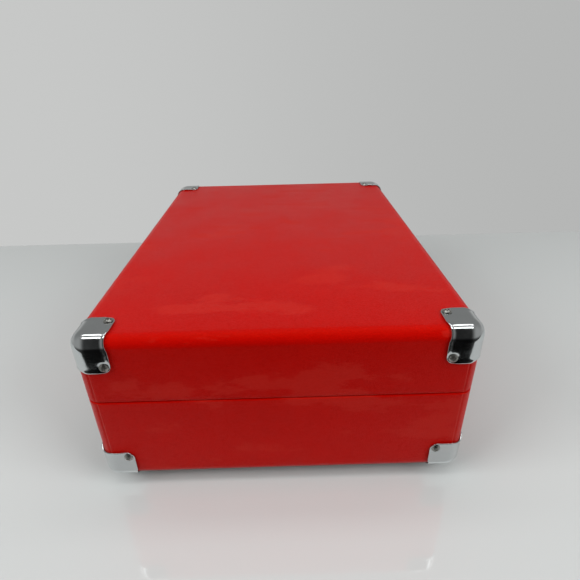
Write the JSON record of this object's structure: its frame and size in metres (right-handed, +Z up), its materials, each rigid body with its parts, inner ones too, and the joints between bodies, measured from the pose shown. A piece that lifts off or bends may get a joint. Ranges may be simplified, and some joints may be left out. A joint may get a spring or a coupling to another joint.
{
  "type": "suitcase record player",
  "caption": "Portable belt-drive record player in a hinged leatherette suitcase with metal corner caps, a drop handle, slide latches, built-in speakers, a tonearm and deck controls.",
  "frame": {"origin": "middle of the object's footprint, on the surface it stands on", "axes": "+X along the long side, from the left end to the right end; +Z up; the handle and latches face -Y and the hinges face +Y"},
  "size_m": [0.355, 0.2784, 0.1295],
  "materials": {
    "red_leatherette_base": "grained leatherette over wood",
    "bottom_board": "dark hardboard",
    "feet_rubber": "matt",
    "base_screw_steel": "polished",
    "red_leatherette_lid": "grained leatherette over wood",
    "liner_card": "fine cloth over card",
    "lid_screw_steel": "polished",
    "hinge_base_steel": "plated",
    "hinge_lid_steel": "plated",
    "hinge_pin_steel": "plain",
    "handle_leatherette": "padded leatherette over a steel core",
    "handle_bracket_steel": "plated",
    "handle_pin_steel": "plain",
    "latch_plate_steel": "plated",
    "slider_steel_left": "plated",
    "slider_steel_right": "plated",
    "latch_lid_steel": "plated",
    "hasp_steel_left": "plated",
    "hasp_steel_right": "plated",
    "latch_pin_steel": "plain",
    "grille_left": "satin black",
    "grille_right": "satin black",
    "speaker_steel": "zinc grey",
    "speaker_paper": "pressed paper",
    "deck_plastic": "fine texture",
    "deck_screw_steel": "blackened",
    "platter_plastic": "moulded",
    "mat_felt": "felt",
    "spindle_steel": "turned",
    "clip_steel": "spring steel",
    "belt_rubber": "matt",
    "motor_steel": "plated can",
    "pulley_brass": "turned",
    "adapter_plastic": "moulded",
    "arm_base_plastic": "moulded",
    "arm_yoke_plastic": "moulded",
    "arm_plastic": "moulded",
    "cartridge_plastic": "moulded red",
    "rest_plastic": "moulded",
    "clip_plastic": "moulded",
    "lever_plastic": "moulded",
    "cue_rubbered": "matt",
    "volume_plastic": "moulded",
    "function_plastic": "moulded",
    "speed_plastic": "grey",
    "stop_plastic": "grey",
    "pot_bodies": "moulded",
    "light_lens": "clear red",
    "board_laminate": "solder resist",
    "board_part_plastic": "moulded",
    "jack_plate_plastic": "moulded",
    "jack_metal": "gold plated",
    "lid_cap_front_left": "polished",
    "lid_cap_front_right": "polished",
    "lid_cap_rear_left": "polished",
    "lid_cap_rear_right": "polished",
    "base_cap_front_left": "polished",
    "base_cap_front_right": "polished",
    "base_cap_rear_left": "polished",
    "base_cap_rear_right": "polished"
  },
  "bodies": {
    "base": {"base_case": "red_leatherette_base", "bottom_panel": "bottom_board", "rubber_feet": "feet_rubber", "base_screws": "base_screw_steel", "hinge_base_leaves": "hinge_base_steel", "hinge_pins": "hinge_pin_steel", "handle_brackets": "handle_bracket_steel", "handle_pins": "handle_pin_steel", "latch_base_plates": "latch_plate_steel", "speaker_grille_left": "grille_left", "speaker_grille_right": "grille_right", "speaker_frames": "speaker_steel", "speaker_cones": "speaker_paper", "deck_plate": "deck_plastic", "deck_screws": "deck_screw_steel", "spindle": "spindle_steel", "platter_clip": "clip_steel", "drive_belt": "belt_rubber", "motor": "motor_steel", "tonearm_base": "arm_base_plastic", "arm_rest": "rest_plastic", "control_pots": "pot_bodies", "power_light": "light_lens", "circuit_board": "board_laminate", "board_parts": "board_part_plastic", "jack_plate": "jack_plate_plastic", "rear_jacks": "jack_metal", "base_corner_front_left": "base_cap_front_left", "base_corner_front_right": "base_cap_front_right", "base_corner_rear_left": "base_cap_rear_left", "base_corner_rear_right": "base_cap_rear_right"},
    "lid": {"lid_case": "red_leatherette_lid", "lid_liner": "liner_card", "lid_screws": "lid_screw_steel", "hinge_lid_leaves": "hinge_lid_steel", "latch_lid_plates": "latch_lid_steel", "latch_pins": "latch_pin_steel", "lid_corner_front_left": "lid_cap_front_left", "lid_corner_front_right": "lid_cap_front_right", "lid_corner_rear_left": "lid_cap_rear_left", "lid_corner_rear_right": "lid_cap_rear_right"},
    "handle": {"handle_grip": "handle_leatherette"},
    "hasp_left": {"latch_hasp_left": "hasp_steel_left"},
    "hasp_right": {"latch_hasp_right": "hasp_steel_right"},
    "slider_left": {"latch_slider_left": "slider_steel_left"},
    "slider_right": {"latch_slider_right": "slider_steel_right"},
    "turntable": {"platter": "platter_plastic", "slip_mat": "mat_felt"},
    "pulley": {"motor_pulley": "pulley_brass"},
    "arm_turret": {"tonearm_yoke": "arm_yoke_plastic"},
    "tonearm": {"tonearm_tube": "arm_plastic", "cartridge": "cartridge_plastic"},
    "rest_clip": {"arm_clip": "clip_plastic"},
    "cueing_lever": {"cue_lever": "lever_plastic"},
    "cueing_platform": {"cue_platform": "cue_rubbered"},
    "volume": {"volume_knob": "volume_plastic"},
    "function": {"function_knob": "function_plastic"},
    "speed": {"speed_switch": "speed_plastic"},
    "auto_stop": {"auto_stop_switch": "stop_plastic"},
    "adapter": {"adapter_45": "adapter_plastic"}
  },
  "joints": [
    {"name": "lid_hinge", "type": "hinge", "parent": "base", "child": "lid", "pos_m": [0, 0.13375, 0.078], "axis": [-1, 0, 0], "range_deg": [0, 95]},
    {"name": "handle_swing", "type": "hinge", "parent": "base", "child": "handle", "pos_m": [0, -0.13225, 0.046], "axis": [-1, 0, 0], "range_deg": [0, 110]},
    {"name": "latch_left_hasp", "type": "hinge", "parent": "lid", "child": "hasp_left", "pos_m": [-0.112, -0.12845, 0.083], "axis": [-1, 0, 0], "range_deg": [0, 100]},
    {"name": "latch_right_hasp", "type": "hinge", "parent": "lid", "child": "hasp_right", "pos_m": [0.112, -0.12845, 0.083], "axis": [-1, 0, 0], "range_deg": [0, 100]},
    {"name": "latch_left_slider", "type": "slide", "parent": "base", "child": "slider_left", "axis": [1, 0, 0], "range_m": [0, 0.006]},
    {"name": "latch_right_slider", "type": "slide", "parent": "base", "child": "slider_right", "axis": [-1, 0, 0], "range_m": [0, 0.006]},
    {"name": "platter_spin", "type": "hinge", "parent": "base", "child": "turntable", "pos_m": [-0.026, 0.00075, 0.07], "axis": [0, 0, -1], "continuous": true},
    {"name": "motor_spin", "type": "hinge", "parent": "base", "child": "pulley", "pos_m": [-0.0854, 0.06015, 0.07], "axis": [0, 0, -1], "continuous": true},
    {"name": "tonearm_swing", "type": "hinge", "parent": "base", "child": "arm_turret", "pos_m": [0.13, 0.08675, 0.07], "axis": [0, 0, -1], "range_deg": [0, 44]},
    {"name": "tonearm_lift", "type": "hinge", "parent": "arm_turret", "child": "tonearm", "pos_m": [0.13, 0.08675, 0.094], "axis": [-1, 0, 0], "range_deg": [0, 6]},
    {"name": "cue_lever_turn", "type": "hinge", "parent": "base", "child": "cueing_lever", "pos_m": [0.156, 0.06475, 0.075], "axis": [-1, 0, 0], "range_deg": [0, 60]},
    {"name": "cue_platform_lift", "type": "slide", "parent": "base", "child": "cueing_platform", "axis": [0, 0, 1], "range_m": [0, 0.0036]},
    {"name": "arm_clip_turn", "type": "hinge", "parent": "base", "child": "rest_clip", "pos_m": [0.1365, -0.04325, 0.094], "axis": [0, -1, 0], "range_deg": [0, 85]},
    {"name": "volume_turn", "type": "hinge", "parent": "base", "child": "volume", "pos_m": [0.153, -0.08525, 0.07], "axis": [0, 0, -1], "range_deg": [0, 270]},
    {"name": "function_turn", "type": "hinge", "parent": "base", "child": "function", "pos_m": [0.153, -0.05725, 0.07], "axis": [0, 0, -1], "range_deg": [0, 90]},
    {"name": "speed_slide", "type": "slide", "parent": "base", "child": "speed", "axis": [0, 1, 0], "range_m": [0, 0.01]},
    {"name": "auto_stop_slide", "type": "slide", "parent": "base", "child": "auto_stop", "axis": [0, 1, 0], "range_m": [0, 0.01]},
    {"name": "adapter_lift", "type": "slide", "parent": "base", "child": "adapter", "axis": [0, 0, 1], "range_m": [0, 0.025]}
  ],
  "couplings": [
    {"joint": "motor_spin", "follows": "platter_spin", "ratio": 11.84},
    {"joint": "cue_lever_turn", "follows": "tonearm_lift", "ratio": 10},
    {"joint": "cue_platform_lift", "follows": "tonearm_lift", "m_per_rad": 0.03438}
  ]
}
